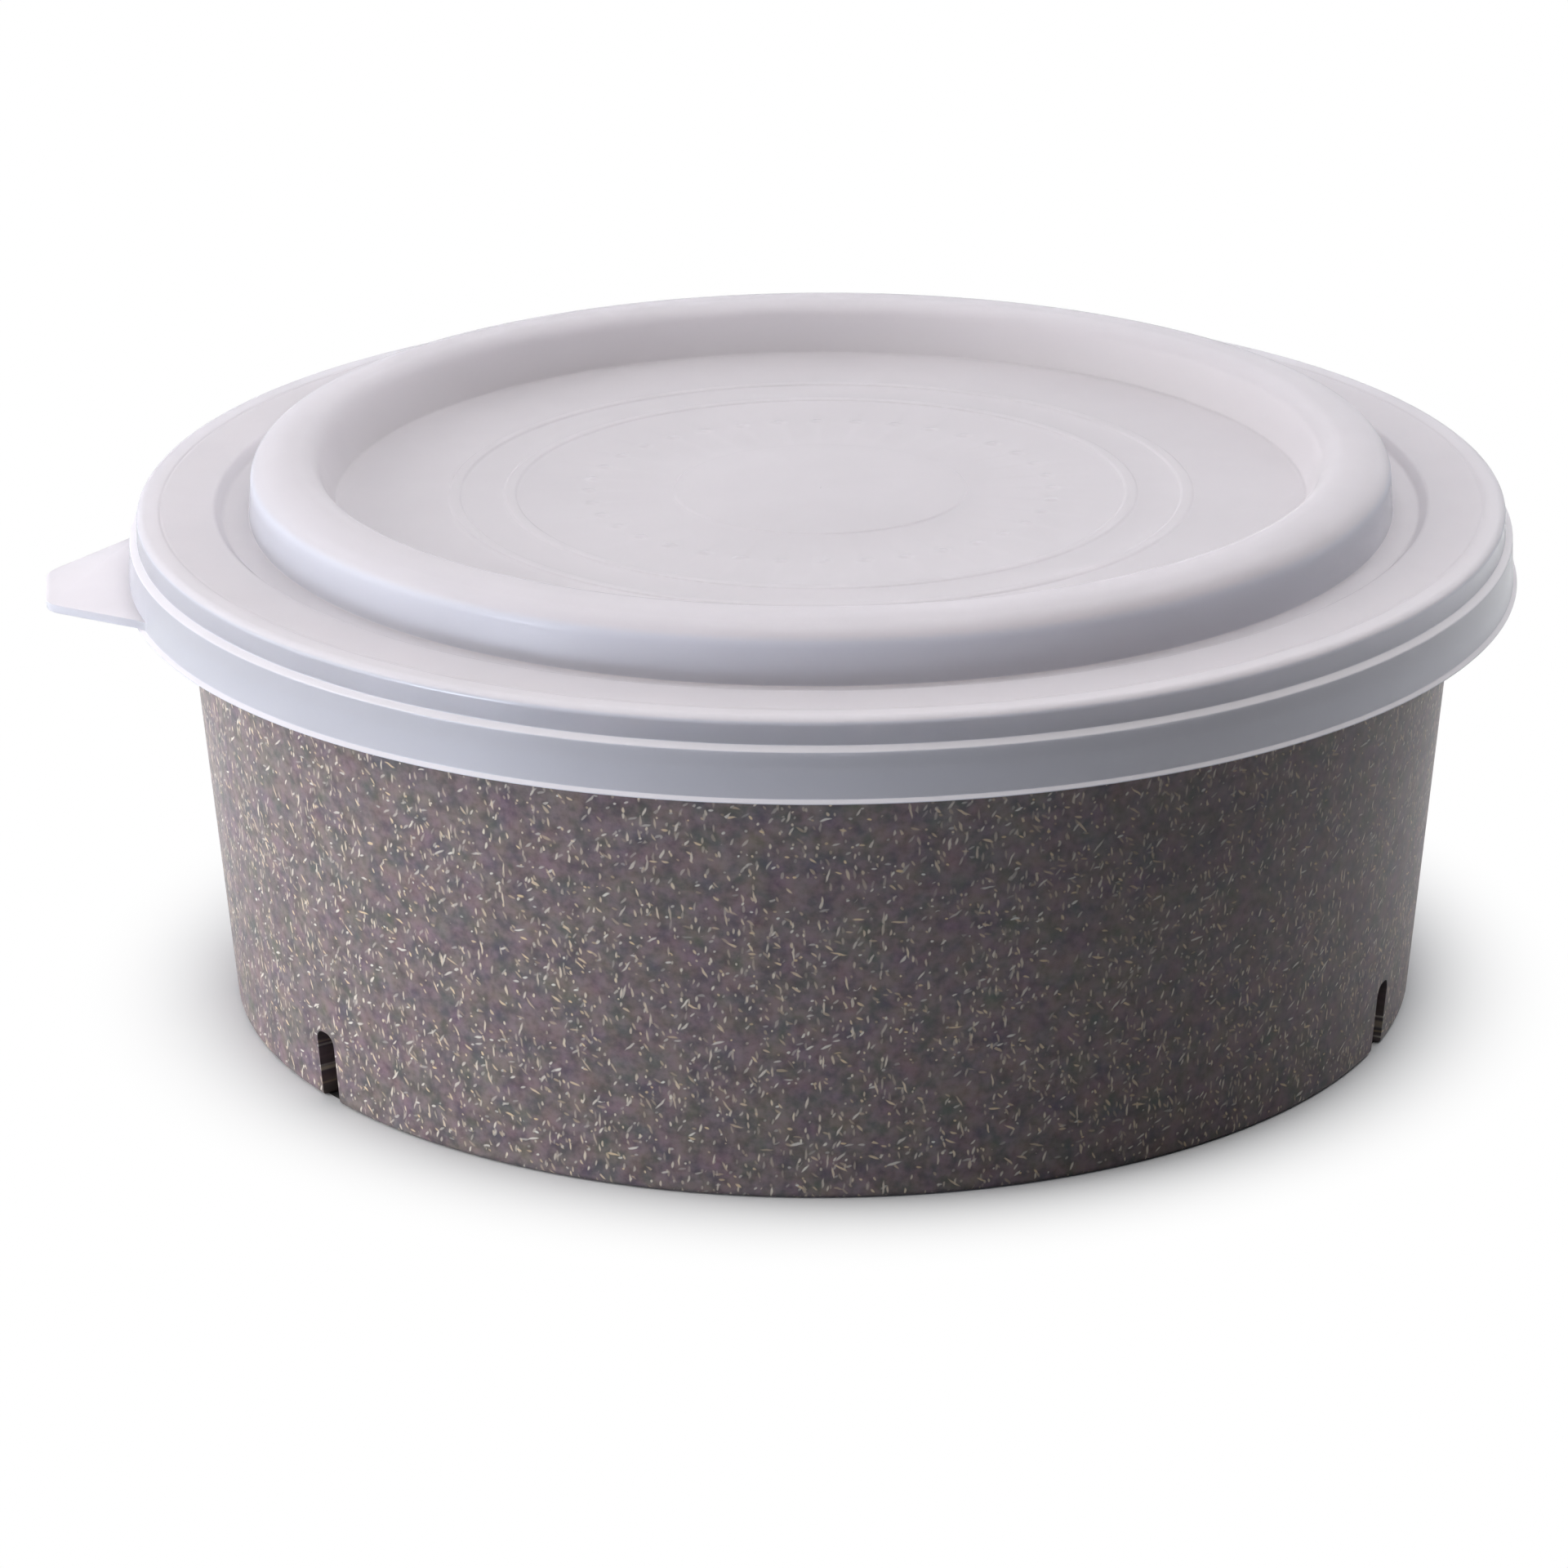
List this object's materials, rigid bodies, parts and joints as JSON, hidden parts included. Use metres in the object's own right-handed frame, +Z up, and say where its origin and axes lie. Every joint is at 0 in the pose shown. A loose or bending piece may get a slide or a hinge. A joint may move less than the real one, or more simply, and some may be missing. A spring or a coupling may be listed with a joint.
{
  "type": "food storage bowl",
  "caption": "Round fibre-flecked food bowl on a notched foot skirt, with a translucent press-on lid that has a stacking ring and a pull tab.",
  "frame": {"origin": "on the bowl's axis, in the plane of the foot ring that the bowl stands on", "axes": "+Z up along the bowl's axis; -X through the middle of the lid's pull tab"},
  "size_m": [0.1902, 0.18, 0.0726],
  "materials": {
    "fibre_plastic": "satin moulded plastic filled with short straw-coloured plant fibres",
    "milky_plastic": "translucent milky moulded plastic with a soft gloss"
  },
  "bodies": {
    "bowl": {"bowl": "fibre_plastic"},
    "lid": {"lid": "milky_plastic"}
  },
  "joints": [
    {"name": "lid_lift", "type": "slide", "parent": "bowl", "child": "lid", "axis": [0, 0, 1], "range_m": [0, 0.08]}
  ]
}
